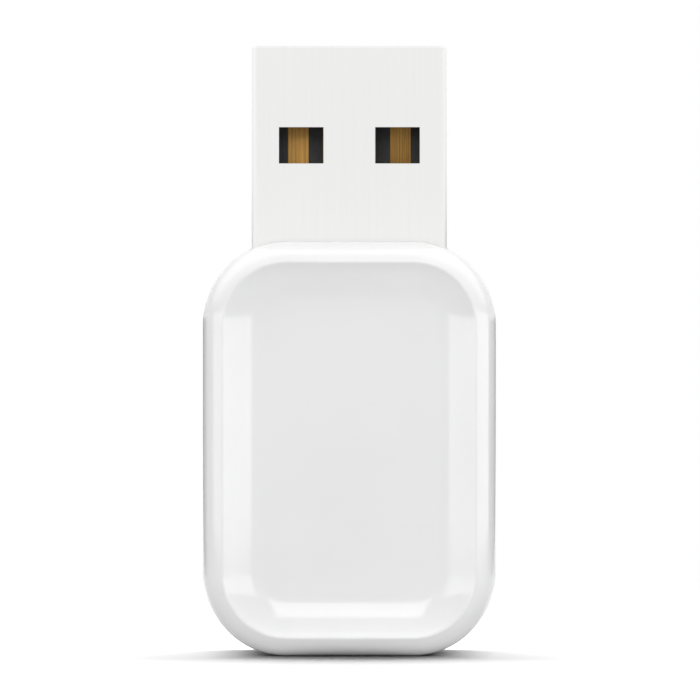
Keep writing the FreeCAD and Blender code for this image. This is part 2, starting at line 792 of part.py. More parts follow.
def make_leaded_chip(label, lead_places):
    """A moulded package on formed leads; lead_places counts pitches along it, and gives the side."""
    body = new_body(label)
    outline = new_sketch(body, "XY_Plane", f"{label}_outline", size.package_lift)
    draw_rectangle(outline, -size.package_width / 2, size.package_width / 2,
                   -size.package_length / 2, size.package_length / 2)
    pad(body, outline, f"{label}_blank", size.package_height - size.package_lift)
    bevel_edges(body, f"{label}_bevel", size.package_bevel, lying_in("Z", size.package_height))
    shoulder = size.package_height / 2
    inside = size.package_length / 2 - size.lead_sheet
    knee = (size.package_length + size.lead_span) / 4
    corners = [
        (inside, shoulder),
        (inside, shoulder - size.lead_sheet),
        (knee - size.lead_sheet, shoulder - size.lead_sheet),
        (knee - size.lead_sheet, ZERO),
        (size.lead_span / 2, ZERO),
        (size.lead_span / 2, size.lead_sheet),
        (knee, size.lead_sheet),
        (knee, shoulder),
    ]
    for index, (step, side) in enumerate(lead_places, start=1):
        lead = new_sketch(body, "YZ_Plane", f"{label}_lead_outline_{index}",
                          size.lead_pitch * step)
        draw_polygon(lead, [(y * side, z) for y, z in corners])
        pad(body, lead, f"{label}_lead_{index}", size.lead_width, both_sides=True)
    return body


def make_small_part(label, length, width, height):
    """A capacitor, resistor or inductor: a core between two slightly larger end caps."""
    body = new_body(label)
    step = size.end_cap_step
    core = new_sketch(body, "YZ_Plane", f"{label}_core_outline")
    draw_rectangle(core, step - width / 2, width / 2 - step, step, height - step)
    pad(body, core, f"{label}_core", length - size.end_cap, both_sides=True)
    for name, place in (("left", -length / 2), ("right", length / 2 - size.end_cap)):
        cap = new_sketch(body, "YZ_Plane", f"{label}_{name}_outline", place)
        draw_rectangle(cap, -width / 2, width / 2, ZERO, height)
        pad(body, cap, f"{label}_{name}_cap", size.end_cap)
    return body


def make_capacitor(label):
    return make_small_part(label, size.small_length, size.small_width, size.capacitor_height)


def make_inductor(label):
    return make_small_part(label, size.small_length, size.small_width, size.inductor_height)


def make_resistor(label):
    return make_small_part(label, size.small_length, size.small_width, size.resistor_height)


def make_large_part(label):
    return make_small_part(label, size.large_length, size.large_width, size.large_height)


def make_radio():
    """The radio chip and its crystal side by side under the can."""
    radio_chip = make_flat_chip("radio_chip", size.radio_chip_side, size.radio_chip_side,
                                size.radio_chip_height)
    can_left = can_place_x - can_inner_half_width
    can_right = can_place_x + can_inner_half_width
    place_on_board(radio_chip, can_left + size.radio_chip_gap + size.radio_chip_side / 2,
                   can_place_z)
    crystal = make_flat_chip("timing_crystal", size.crystal_width, size.crystal_length,
                             size.crystal_height)
    place_on_board(crystal, can_right - size.crystal_gap - size.crystal_width / 2, can_place_z)
    return [radio_chip, crystal, make_shield_can()]


def make_antenna_network():
    """The filter and the matching parts, in one row between the radio and the antenna."""
    level = board_bottom + size.network_rise
    start = board_half_width - size.network_side_gap
    pieces = []
    row = ((make_capacitor, "matching_capacitor_1"), (make_inductor, "matching_inductor_1"),
           (make_capacitor, "matching_capacitor_2"), (make_inductor, "matching_inductor_2"))
    for index, (make, label) in enumerate(row):
        piece = make(label)
        place_on_board(piece, start - size.part_pitch * index, level)
        pieces.append(piece)
    rf_filter = make_flat_chip("rf_filter", size.filter_width, size.filter_length,
                               size.filter_height)
    place_on_board(rf_filter, start - size.part_pitch * (len(row) - 1) - size.filter_pitch, level)
    pieces.append(rf_filter)
    return pieces


def make_supply():
    """The regulator low on the left, and its capacitors in the two columns beside the can."""
    regulator = make_leaded_chip("voltage_regulator", ((-1, 1), (1, 1), (-1, -1), (0, -1), (1, -1)))
    place_on_board(regulator,
                   size.regulator_side_gap + size.package_width / 2 - board_half_width,
                   board_bottom + size.regulator_rise)
    pieces = [regulator]
    for number in (1, 2):
        capacitor = make_large_part(f"supply_capacitor_{number}")
        place_on_board(capacitor, column_place(number), board_bottom + size.supply_rise,
                       turned=True)
        pieces.append(capacitor)
    return pieces


def column_place(number):
    return -size.column_offset - size.column_pitch * (number - 1)


def make_usb_parts():
    """The bridge chip with its pull resistors, and the row of parts right below the plug."""
    bridge = make_flat_chip("usb_bridge_chip", size.bridge_chip_side, size.bridge_chip_side,
                            size.bridge_chip_height)
    place_on_board(bridge, size.bridge_side_gap + size.bridge_chip_side / 2 - board_half_width,
                   board_bottom + size.bridge_rise + size.bridge_chip_side / 2)
    protector = make_leaded_chip(
        "surge_protector", [(step, side) for step in (-1, 0, 1) for side in (1, -1)])
    level = tail_end - size.protector_drop
    place_on_board(protector, ZERO, level)
    ferrite = make_large_part("ferrite_bead")
    place_on_board(ferrite, -size.outer_contact_offset, level, turned=True)
    capacitor = make_large_part("input_capacitor")
    place_on_board(capacitor, size.column_pitch - size.outer_contact_offset, level, turned=True)
    pieces = [bridge, protector, ferrite, capacitor]
    for number in (1, 2):
        series = make_resistor(f"series_resistor_{number}")
        place_on_board(series, size.series_offset + size.column_pitch * (number - 1), level,
                       turned=True)
        pull = make_resistor(f"pull_resistor_{number}")
        place_on_board(pull, column_place(number), board_bottom + size.pull_rise, turned=True)
        pieces += [series, pull]
    return pieces


def make_back_parts():
    """Decoupling capacitors on the board's back, behind the radio chip."""
    pieces = []
    for number in range(1, 5):
        piece = make_capacitor(f"decoupling_capacitor_{number}")
        place_on_board(piece, can_place_x + size.part_pitch * (number - 2.5), can_place_z,
                       back=True)
        pieces.append(piece)
    return pieces


def make_pieces():
    contacts = (("contact_power", -size.outer_contact_offset, size.outer_contact_drop),
                ("contact_data_minus", -size.inner_contact_offset, size.inner_contact_drop),
                ("contact_data_plus", size.inner_contact_offset, size.inner_contact_drop),
                ("contact_ground", size.outer_contact_offset, size.outer_contact_drop))
    pieces = [make_front_cover(), make_rear_cover(), make_plug_shell(), make_plug_insulator()]
    pieces += [make_contact(*contact) for contact in contacts]
    pieces += [make_circuit_board(), make_antenna()]
    pieces += make_radio()
    pieces += make_antenna_network()
    pieces += make_supply()
    pieces += make_usb_parts()
    pieces += make_back_parts()
    return pieces


def check_document():
    for feature in doc.Objects:
        if "Invalid" in feature.State or "Error" in feature.State:
            raise RuntimeError(f"{feature.Label} failed: {feature.State}")


def write_piece(piece):
    shape = piece.Shape
    if shape.isNull() or not shape.isValid() or len(shape.Solids) != 1:
        raise RuntimeError(f"{piece.Label} is not one valid solid")
    shape.exportStep(f"parts/{piece.Label}.step")
    print(f"{piece.Label}: {shape.Volume:.3f} mm3, {len(shape.Faces)} faces")


all_pieces = make_pieces()
doc.recompute()
check_document()
os.makedirs("parts", exist_ok=True)
for each_piece in all_pieces:
    write_piece(each_piece)
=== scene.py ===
import json
import math

import bmesh
import bpy
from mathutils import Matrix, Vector

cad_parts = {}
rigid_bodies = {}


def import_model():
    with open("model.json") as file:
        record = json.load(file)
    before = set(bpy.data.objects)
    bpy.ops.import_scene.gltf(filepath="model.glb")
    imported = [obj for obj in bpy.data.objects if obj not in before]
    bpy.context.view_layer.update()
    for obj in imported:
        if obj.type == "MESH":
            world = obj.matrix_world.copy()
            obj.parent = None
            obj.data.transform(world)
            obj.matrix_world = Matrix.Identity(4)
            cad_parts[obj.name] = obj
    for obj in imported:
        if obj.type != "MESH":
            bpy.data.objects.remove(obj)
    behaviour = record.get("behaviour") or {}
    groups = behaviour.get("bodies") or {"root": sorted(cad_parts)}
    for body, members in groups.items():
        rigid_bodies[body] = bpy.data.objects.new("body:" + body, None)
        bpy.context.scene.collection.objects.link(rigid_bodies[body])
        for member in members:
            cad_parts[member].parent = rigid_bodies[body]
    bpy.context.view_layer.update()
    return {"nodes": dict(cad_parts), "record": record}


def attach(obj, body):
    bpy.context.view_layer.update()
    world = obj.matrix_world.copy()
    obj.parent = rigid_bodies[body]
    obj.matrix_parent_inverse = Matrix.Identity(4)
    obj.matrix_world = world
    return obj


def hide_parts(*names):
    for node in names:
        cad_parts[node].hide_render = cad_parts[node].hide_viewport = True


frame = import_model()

MM = 0.001

# Sizes of the housing in millimetres, the same as in the solids
WIDTH = 18.0
HEIGHT = 25.5
CORNER_RADIUS = 5.15
FRONT_DEPTH = 4.25
REAR_DEPTH = 4.25
FRONT_ROUND = 2.0
REAR_ROUND = 1.4
WALL = 1.1
SEAM_BEVEL = 0.12
RIDGE_INSET = 1.25
RIDGE_ROUND = 0.2
SLOPE_WIDTH = 2.4
DISH_DEPTH = 1.0
DISH_WALL = 0.8
# narrow bands beside a round, that keep its shading off the flats
SUPPORT = 0.05

# Sizes of the plug in millimetres, the same as in the solids
PLUG_WIDTH = 12.0
PLUG_THICKNESS = 4.5
PLUG_FOOT = 18.75
PLUG_TIP = 37.5
PLUG_SHEET = 0.3
PLUG_FOLD = 0.5
PLUG_CLEARANCE = 0.05
TIP_BEVEL = 0.1
WINDOW_WIDTH = 2.74
WINDOW_HEIGHT = 2.23
WINDOW_OFFSET = 2.955
WINDOW_TOP = PLUG_TIP - 4.98
SEAM_GAP = 0.08
LOCK_MIDDLE = PLUG_TIP - 9.4
LOCK_WIDTH = 1.5
LOCK_NECK = 1.0
LOCK_HEAD = 1.8

# Segments of each round
CORNER_STEPS = 28
RIM_STEPS = 14
RIDGE_STEPS = 8
COVE_STEPS = 18
FOLD_STEPS = 10
INNER_FOLD_STEPS = 5
TIP_STEPS = 3

# Two places this close in millimetres are one, and a normal with this much of Y looks along Y
NEAR = 0.01
FACING = 0.9
# How far in millimetres a cutter reaches past what it cuts
OVERSHOOT = 1.0
# Degrees up to which an edge is shaded smooth
SMOOTH_ANGLE = 35


def deselect():
    for thing in bpy.context.view_layer.objects:
        thing.select_set(False)


def pick(thing):
    """Makes one object the only selected and active one."""
    deselect()
    thing.select_set(True)
    bpy.context.view_layer.objects.active = thing


def take_new(name):
    thing = bpy.context.active_object
    thing.name = name
    thing.data.name = name
    return thing


def add_block(name, low, high):
    """A box between two corners in millimetres, with its place in its mesh."""
    deselect()
    middle = [(a + b) / 2 * MM for a, b in zip(low, high)]
    bpy.ops.mesh.primitive_cube_add(size=1, location=middle)
    block = take_new(name)
    block.scale = [(b - a) * MM for a, b in zip(low, high)]
    bpy.ops.object.transform_apply(location=True, rotation=True, scale=True)
    return block


def select_faces(thing, test):
    """In edit mode, selects the faces whose middle, in millimetres, and normal pass the test."""
    bpy.ops.mesh.select_mode(type="FACE")
    bpy.ops.mesh.select_all(action="DESELECT")
    sheet = bmesh.from_edit_mesh(thing.data)
    for face in sheet.faces:
        face.select_set(test(face.calc_center_median() / MM, face.normal))
    bmesh.update_edit_mesh(thing.data)


def looks_along_y(level):
    """The test for faces that look along Y at that depth in millimetres."""
    return lambda middle, normal: abs(middle.y - level) < NEAR and abs(normal.y) > FACING


def select_edges(thing, test):
    """In edit mode, selects the edges whose two ends, in millimetres, pass the test."""
    bpy.ops.mesh.select_mode(type="EDGE")
    bpy.ops.mesh.select_all(action="DESELECT")
    sheet = bmesh.from_edit_mesh(thing.data)
    for edge in sheet.edges:
        edge.select_set(test(edge.verts[0].co / MM, edge.verts[1].co / MM))
    bmesh.update_edit_mesh(thing.data)


def cut_with(thing, cutter):
    """Takes the cutter's shape out of a piece, and deletes the cutter."""
    pick(thing)
    cut = thing.modifiers.new("cut", "BOOLEAN")
    cut.operation = "DIFFERENCE"
    cut.solver = "EXACT"
    cut.object = cutter
    bpy.ops.object.modifier_apply(modifier=cut.name)
    bpy.data.objects.remove(cutter)


def smooth(thing):
    pick(thing)
    bpy.ops.object.shade_smooth_by_angle(angle=math.radians(SMOOTH_ANGLE))


def weigh_normals(thing):
    """Keeps the flats flat where they meet small rounds."""
    pick(thing)
    modifier = thing.modifiers.new("weigh", "WEIGHTED_NORMAL")
    modifier.keep_sharp = True
    modifier.weight = 100
    bpy.ops.object.modifier_apply(modifier="weigh")


def arc(centre, radius, start, end, steps):
    """Points of an arc, its ends included; angles in radians from the first axis."""
    return [(centre[0] + radius * math.cos(start + (end - start) * step / steps),
             centre[1] + radius * math.sin(start + (end - start) * step / steps))
            for step in range(steps + 1)]


def angle_to(centre, point):
    return math.atan2(point[1] - centre[1], point[0] - centre[0])


def front_profile():
    """Inset and level of each ring, from the side wall over rim and ridge to the dish's floor.

    Gives the floor's level too. Levels count from the parting line, in millimetres.
    """
    rim_centre = (FRONT_ROUND, FRONT_DEPTH - FRONT_ROUND)
    ridge_run = FRONT_ROUND - RIDGE_INSET
    ridge_level = rim_centre[1] + math.sqrt(FRONT_ROUND ** 2 - ridge_run ** 2)
    floor_level = ridge_level - DISH_DEPTH
    cove_radius = (SLOPE_WIDTH ** 2 + DISH_DEPTH ** 2) / (2 * DISH_DEPTH)
    cove_centre = (RIDGE_INSET + SLOPE_WIDTH, floor_level + cove_radius)
    # the ridge's rounding touches the rim's arc from inside and the cove's from outside
    near, far = FRONT_ROUND - RIDGE_ROUND, cove_radius + RIDGE_ROUND
    across = cove_centre[0] - rim_centre[0], cove_centre[1] - rim_centre[1]
    span = math.hypot(*across)
    along = (near ** 2 - far ** 2 + span ** 2) / (2 * span)
    aside = math.sqrt(near ** 2 - along ** 2)
    unit = across[0] / span, across[1] / span
    ridge_centre = (rim_centre[0] + unit[0] * along - unit[1] * aside,
                    rim_centre[1] + unit[1] * along + unit[0] * aside)
    rim_end = angle_to(rim_centre, ridge_centre)
    cove_start = angle_to(cove_centre, ridge_centre)
    ridge_end = cove_start + math.pi
    if ridge_end > rim_end:
        ridge_end -= 2 * math.pi
    profile = [(0, rim_centre[1] - SUPPORT)]
    profile += arc(rim_centre, FRONT_ROUND, math.pi, rim_end, RIM_STEPS)
    profile += arc(ridge_centre, RIDGE_ROUND, rim_end, ridge_end, RIDGE_STEPS)[1:]
    if cove_start > 0:
        cove_start -= 2 * math.pi
    profile += arc(cove_centre, cove_radius, cove_start, -math.pi / 2, COVE_STEPS)[1:]
    profile.append((profile[-1][0] + SUPPORT, floor_level))
    return profile, floor_level


def rear_profile():
    """Inset and level of each ring, from the side wall over the rounded edge to the flat back."""
    centre = (REAR_ROUND, REAR_DEPTH - REAR_ROUND)
    profile = [(0, centre[1] - SUPPORT)]
    profile += arc(centre, REAR_ROUND, math.pi, math.pi / 2, RIM_STEPS)
    profile.append((REAR_ROUND + SUPPORT, REAR_DEPTH))
    return profile


def make_cover(name, side, profile, cavity):
    """One half of the housing, hollow to the depth of cavity in millimetres.

    Side is -1 for the front and 1 for the back.
    """
    deselect()
    bpy.ops.mesh.primitive_plane_add(size=1, rotation=(-side * math.pi / 2, 0, 0))
    cover = take_new(name)
    cover.scale = (WIDTH * MM, HEIGHT * MM, 1)
    cover.location = (0, side * SEAM_BEVEL * MM, HEIGHT / 2 * MM)
    bpy.ops.object.transform_apply(location=True, rotation=True, scale=True)
    bpy.ops.object.mode_set(mode="EDIT")
    bpy.ops.mesh.select_all(action="SELECT")
    bpy.ops.mesh.bevel(offset=CORNER_RADIUS * MM, segments=CORNER_STEPS, affect="VERTICES")
    bpy.ops.mesh.select_all(action="SELECT")
    rise = side * (profile[0][1] - SEAM_BEVEL) * MM
    bpy.ops.mesh.extrude_region_move(TRANSFORM_OT_translate={"value": (0, rise, 0)})
    bpy.ops.mesh.select_all(action="SELECT")
    bpy.ops.mesh.normals_make_consistent(inside=False)
    select_faces(cover, looks_along_y(side * profile[0][1]))
    for (inset, level), (next_inset, next_level) in zip(profile, profile[1:]):
        bpy.ops.mesh.inset(thickness=(next_inset - inset) * MM,
                           depth=(next_level - level) * MM)
    select_faces(cover, looks_along_y(side * SEAM_BEVEL))
    bpy.ops.mesh.inset(thickness=SEAM_BEVEL * MM, depth=SEAM_BEVEL * MM)
    bpy.ops.mesh.inset(thickness=(WALL - SEAM_BEVEL) * MM, depth=0)
    depth = (0, side * cavity * MM, 0)
    bpy.ops.mesh.extrude_region_move(TRANSFORM_OT_translate={"value": depth})
    bpy.ops.object.mode_set(mode="OBJECT")

    half_width = PLUG_WIDTH / 2 + PLUG_CLEARANCE
    half_depth = PLUG_THICKNESS / 2 + PLUG_CLEARANCE
    bay = add_block("bay", (-half_width, -half_depth, PLUG_FOOT - PLUG_CLEARANCE),
                    (half_width, half_depth, PLUG_TIP))
    cut_with(cover, bay)
    smooth(cover)
    return cover


def round_upright_edges(block, radius, steps):
    """Leaves the block in edit mode."""
    bpy.ops.object.mode_set(mode="EDIT")
    select_edges(block, lambda a, b: abs(a.x - b.x) < NEAR and abs(a.y - b.y) < NEAR)
    bpy.ops.mesh.bevel(offset=radius * MM, segments=steps, affect="EDGES")


def make_plug_sleeve():
    """The plug's folded sheet, with two windows in each broad side and a locked seam behind."""
    half_width = PLUG_WIDTH / 2
    half_depth = PLUG_THICKNESS / 2
    sleeve = add_block("plug_sleeve", (-half_width, -half_depth, PLUG_FOOT),
                       (half_width, half_depth, PLUG_TIP))
    round_upright_edges(sleeve, PLUG_FOLD, FOLD_STEPS)
    select_edges(sleeve, lambda a, b: min(a.z, b.z) > PLUG_TIP - NEAR)
    bpy.ops.mesh.bevel(offset=TIP_BEVEL * MM, segments=TIP_STEPS, affect="EDGES")
    bpy.ops.object.mode_set(mode="OBJECT")

    inner_width = half_width - PLUG_SHEET
    inner_depth = half_depth - PLUG_SHEET
    bore = add_block("bore", (-inner_width, -inner_depth, PLUG_FOOT - OVERSHOOT),
                     (inner_width, inner_depth, PLUG_TIP + OVERSHOOT))
    round_upright_edges(bore, PLUG_FOLD - PLUG_SHEET, INNER_FOLD_STEPS)
    bpy.ops.object.mode_set(mode="OBJECT")
    cut_with(sleeve, bore)
    for middle in (-WINDOW_OFFSET, WINDOW_OFFSET):
        window = add_block("window", (middle - WINDOW_WIDTH / 2, -PLUG_THICKNESS,
                                      WINDOW_TOP - WINDOW_HEIGHT),
                           (middle + WINDOW_WIDTH / 2, PLUG_THICKNESS, WINDOW_TOP))
        cut_with(sleeve, window)
    cut_with(sleeve, make_seam_cutter())
    smooth(sleeve)
    weigh_normals(sleeve)
    return sleeve


def make_seam_cutter():
    """The slit between the sheet's two edges, with one dovetail tongue toward +X."""
    half_gap = SEAM_GAP / 2
    neck, head = LOCK_NECK / 2, LOCK_HEAD / 2
    low, high = PLUG_FOOT - OVERSHOOT, PLUG_TIP + OVERSHOOT
    corners = [
        (-half_gap, low), (half_gap, low),
        (half_gap, LOCK_MIDDLE - neck - SEAM_GAP),
        (LOCK_WIDTH + half_gap, LOCK_MIDDLE - head - SEAM_GAP),
        (LOCK_WIDTH + half_gap, LOCK_MIDDLE + head + SEAM_GAP),
        (half_gap, LOCK_MIDDLE + neck + SEAM_GAP),
        (half_gap, high), (-half_gap, high),
        (-half_gap, LOCK_MIDDLE + neck), (LOCK_WIDTH - half_gap, LOCK_MIDDLE + head),
        (LOCK_WIDTH - half_gap, LOCK_MIDDLE - head), (-half_gap, LOCK_MIDDLE - neck),
    ]
    deselect()
    bpy.ops.mesh.primitive_plane_add(size=1)
    cutter = take_new("seam_cutter")
    bpy.ops.object.mode_set(mode="EDIT")
    bpy.ops.mesh.delete(type="VERT")
    sheet = bmesh.from_edit_mesh(cutter.data)
    level = PLUG_THICKNESS / 2 - OVERSHOOT
    points = [sheet.verts.new((x * MM, level * MM, z * MM)) for x, z in corners]
    sheet.faces.new(points)
    bmesh.update_edit_mesh(cutter.data)
    bpy.ops.mesh.select_all(action="SELECT")
    through = (0, 2 * OVERSHOOT * MM, 0)
    bpy.ops.mesh.extrude_region_move(TRANSFORM_OT_translate={"value": through})
    bpy.ops.mesh.select_all(action="SELECT")
    bpy.ops.mesh.normals_make_consistent(inside=False)
    bpy.ops.object.mode_set(mode="OBJECT")
    return cutter


class Finish:
    """A material of one shader whose patterns read Object coordinates."""

    # the noise's own roughness, and the spans of it that turn into colour and gloss
    NOISE_ROUGHNESS = 0.55
    COLOUR_SPAN = 0.35, 0.65
    GLOSS_SPAN = 0.3, 0.7

    def __init__(self, name, **settings):
        self.material = bpy.data.materials.new(name)
        self.material.use_nodes = True
        self.tree = self.material.node_tree
        self.shader = self.tree.nodes["Principled BSDF"]
        for socket, value in settings.items():
            self.shader.inputs[socket.replace("_", " ")].default_value = value
        self.place = self.tree.nodes.new("ShaderNodeTexCoord").outputs["Object"]

    def link(self, output, target):
        self.tree.links.new(output, target)

    def noise(self, scale, stretch=(1, 1, 1), detail=4.0):
        """Noise with scale features to a millimetre, stretched along the axes."""
        spread = self.tree.nodes.new("ShaderNodeMapping")
        spread.inputs["Scale"].default_value = [scale / MM * factor for factor in stretch]
        self.link(self.place, spread.inputs["Vector"])
        noise = self.tree.nodes.new("ShaderNodeTexNoise")
        noise.inputs["Scale"].default_value = 1.0
        noise.inputs["Detail"].default_value = detail
        noise.inputs["Roughness"].default_value = self.NOISE_ROUGHNESS
        self.link(spread.outputs["Vector"], noise.inputs["Vector"])
        return noise.outputs["Fac"]

    def colour(self, factor, low, high):
        ramp = self.tree.nodes.new("ShaderNodeValToRGB")
        stops = zip(ramp.color_ramp.elements, self.COLOUR_SPAN, (low, high))
        for stop, position, colour in stops:
            stop.position = position
            stop.color = (*colour, 1)
        self.link(factor, ramp.inputs["Fac"])
        self.link(ramp.outputs["Color"], self.shader.inputs["Base Color"])

    def roughness(self, factor, low, high):
        spread = self.tree.nodes.new("ShaderNodeMapRange")
        spread.inputs["From Min"].default_value = self.GLOSS_SPAN[0]
        spread.inputs["From Max"].default_value = self.GLOSS_SPAN[1]
        spread.inputs["To Min"].default_value = low
        spread.inputs["To Max"].default_value = high
        self.link(factor, spread.inputs["Value"])
        self.link(spread.outputs["Result"], self.shader.inputs["Roughness"])

    def bump(self, factor, height):
        """Relief of about that height in millimetres."""
        bump = self.tree.nodes.new("ShaderNodeBump")
        bump.inputs["Strength"].default_value = 1.0
        bump.inputs["Distance"].default_value = height * MM
        self.link(factor, bump.inputs["Height"])
        self.link(bump.outputs["Normal"], self.shader.inputs["Normal"])


def paint(thing, finish):
    thing.data.materials.clear()
    thing.data.materials.append(finish.material)


def make_housing_white():
    finish = Finish("housing_white", IOR=1.52)
    cloud = finish.noise(0.12, detail=2.0)
    finish.colour(cloud, (0.83, 0.83, 0.832), (0.85, 0.85, 0.852))
    finish.roughness(finish.noise(0.6), 0.08, 0.11)
    finish.bump(finish.noise(1.6, detail=2.0), 0.0006)
    return finish


def make_plug_steel():
    finish = Finish("plug_steel", Metallic=1.0, Anisotropic=0.3)
    grain = finish.noise(6.0, (1, 1, 0.02), detail=5.0)
    finish.colour(grain, (0.67, 0.668, 0.664), (0.68, 0.678, 0.674))
    finish.roughness(finish.noise(2.0, (1, 1, 0.05)), 0.34, 0.38)
    finish.bump(grain, 0.00005)
    return finish


def make_insulator_black():
    finish = Finish("insulator_black", IOR=1.4)
    finish.colour(finish.noise(0.8), (0.009, 0.009, 0.0095), (0.015, 0.015, 0.0155))
    finish.roughness(finish.noise(3.0), 0.55, 0.65)
    finish.bump(finish.noise(12.0), 0.004)
    return finish


def make_contact_gold():
    finish = Finish("contact_gold", Metallic=1.0)
    wipe = finish.noise(14.0, (1, 1, 0.01), detail=3.0)
    finish.colour(wipe, (0.21, 0.118, 0.034), (0.375, 0.212, 0.062))
    finish.roughness(wipe, 0.5, 0.6)
    finish.bump(wipe, 0.003)
    return finish


# The plain finish: how uneven its gloss is, and how fine and how high its relief
PLAIN_UNEVEN = 0.12
PLAIN_FINER = 4
PLAIN_RELIEF = 0.004


def make_plain(name, low, high, rough, metallic=0.0, scale=3.0, stretch=(1, 1, 1)):
    """A quiet finish for what lies inside: mottled colour, uneven gloss and a fine relief."""
    finish = Finish(name, Metallic=metallic)
    mottle = finish.noise(scale, stretch)
    finish.colour(mottle, low, high)
    finish.roughness(mottle, rough, rough + PLAIN_UNEVEN)
    finish.bump(finish.noise(scale * PLAIN_FINER, stretch), PLAIN_RELIEF)
    return finish


def dress_nodes():
    """Gives every solid the finish of its material slot in the record."""
    finishes = {
        "housing_white": make_housing_white(),
        "plug_steel": make_plug_steel(),
        "insulator_black": make_insulator_black(),
        "contact_gold": make_contact_gold(),
        "board_green": make_plain("board_green", (0.01, 0.09, 0.04), (0.015, 0.12, 0.055), 0.35,
                                  scale=1.5),
        "antenna_gold": make_plain("antenna_gold", (0.7, 0.5, 0.22), (0.85, 0.64, 0.33), 0.25,
                                   metallic=1.0, scale=2.0, stretch=(1, 1, 0.1)),
        "chip_black": make_plain("chip_black", (0.012, 0.012, 0.013), (0.022, 0.022, 0.024), 0.5,
                                 scale=8.0),
        "crystal_lid": make_plain("crystal_lid", (0.6, 0.59, 0.55), (0.72, 0.71, 0.67), 0.25,
                                  metallic=1.0),
        "shield_tin": make_plain("shield_tin", (0.55, 0.55, 0.53), (0.7, 0.7, 0.68), 0.28,
                                 metallic=1.0, stretch=(0.1, 1, 1)),
        "capacitor_tan": make_plain("capacitor_tan", (0.3, 0.18, 0.09), (0.4, 0.25, 0.13), 0.4,
                                    scale=6.0),
        "inductor_grey": make_plain("inductor_grey", (0.05, 0.05, 0.055), (0.08, 0.08, 0.085),
                                    0.45, scale=6.0),
        "filter_white": make_plain("filter_white", (0.6, 0.6, 0.57), (0.7, 0.7, 0.67), 0.3,
                                   scale=6.0),
        "resistor_black": make_plain("resistor_black", (0.01, 0.01, 0.011), (0.02, 0.02, 0.021),
                                     0.3, scale=6.0),
    }
    for subpart in frame["record"]["subparts"]:
        paint(frame["nodes"][subpart["node"]], finishes[subpart["material_slot"]])
    return finishes


def install(piece, node, slot, finishes):
    """Puts a piece in place of a solid, with the finish of its slot."""
    paint(piece, finishes[slot])
    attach(piece, "root")
    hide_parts(node)
    return piece


# Camera: straight in front and far off, a little lower than the plug's tip, in millimetres
VIEW_PIXELS = 700
PIXELS_PER_MM = 16.26
VIEW_WIDTH = VIEW_PIXELS / PIXELS_PER_MM
CAMERA_DISTANCE = 480.0
CAMERA_HEIGHT = 32.0
FRAME_CENTRE = (0.04, -2.0, 18.82)
SENSOR = 36.0
CLIP_START, CLIP_END = 0.01, 50


def make_camera():
    camera_data = bpy.data.cameras.new("camera")
    camera_data.sensor_width = SENSOR
    camera_data.lens = SENSOR * CAMERA_DISTANCE / VIEW_WIDTH
    camera_data.clip_start = CLIP_START
    camera_data.clip_end = CLIP_END
    camera = bpy.data.objects.new("camera", camera_data)
    bpy.context.scene.collection.objects.link(camera)
    rise = math.asin((CAMERA_HEIGHT - FRAME_CENTRE[2]) / CAMERA_DISTANCE)
    target = Vector(FRAME_CENTRE) * MM
    away = Vector((0, -math.cos(rise), math.sin(rise))) * CAMERA_DISTANCE * MM
    camera.location = target + away
    camera.rotation_euler = (math.pi / 2 - rise, 0, 0)
    bpy.context.scene.camera = camera


def gather(name, *groups):
    """A collection that only tells lamps what to light."""
    collection = bpy.data.collections.new(name)
    for group in groups:
        for thing in group:
            collection.objects.link(thing)
    return collection


def direction(azimuth, elevation):
    """Azimuth from the camera's side, positive to the right, and elevation, in degrees."""
    turn, lift = math.radians(azimuth), math.radians(elevation)
    return Vector((math.sin(turn) * math.cos(lift), -math.cos(turn) * math.cos(lift),
                   math.sin(lift)))


# Where the lamps' angles are taken from, in metres
STICK_MIDDLE = Vector((0, 0, 0.015))


def add_softbox(name, azimuths, elevations, distance, radiance, lit, gloss=True, matte=True):
    """A flat lamp that fills those angles as the stick sees them, for one collection of things.

    Angles are in degrees and the distance in metres. A radiance of 1 renders as white. The lamp
    can be left out of the gloss or of the matte shading. Lamps at one place and of one size lose
    light to each other, so no two have the same distance, angles and size.
    """
    lamp = bpy.data.lights.new(name, "AREA")
    lamp.shape = "RECTANGLE"
    half_turn = math.radians(azimuths[1] - azimuths[0]) / 2
    half_lift = math.radians(elevations[1] - elevations[0]) / 2
    lamp.size = 2 * distance * math.tan(half_turn)
    lamp.size_y = 2 * distance * math.tan(half_lift)
    lamp.energy = radiance * math.pi * lamp.size * lamp.size_y
    thing = bpy.data.objects.new(name, lamp)
    bpy.context.scene.collection.objects.link(thing)
    toward = direction(sum(azimuths) / 2, sum(elevations) / 2)
    thing.location = STICK_MIDDLE + toward * distance
    thing.rotation_euler = toward.to_track_quat("Z", "Y").to_euler()
    thing.visible_camera = False
    thing.visible_glossy = gloss
    thing.visible_diffuse = matte
    thing.light_linking.receiver_collection = lit


def background_rays(tree):
    """1 for the rays that see the background: the camera's, and those of gloss and glass."""
    path = tree.nodes.new("ShaderNodeLightPath")
    sees = path.outputs["Is Camera Ray"]
    for ray in ("Is Glossy Ray", "Is Transmission Ray"):
        either = tree.nodes.new("ShaderNodeMath")
        either.operation = "MAXIMUM"
        tree.links.new(sees, either.inputs[0])
        tree.links.new(path.outputs[ray], either.inputs[1])
        sees = either.outputs[0]
    return sees


def make_world():
    """White to the background rays. It lights nothing that is matte."""
    world = bpy.data.worlds.new("world")
    bpy.context.scene.world = world
    world.use_nodes = True
    tree = world.node_tree
    background = tree.nodes["Background"]
    background.inputs["Color"].default_value = (1, 1, 1, 1)
    tree.links.new(background_rays(tree), background.inputs["Strength"])


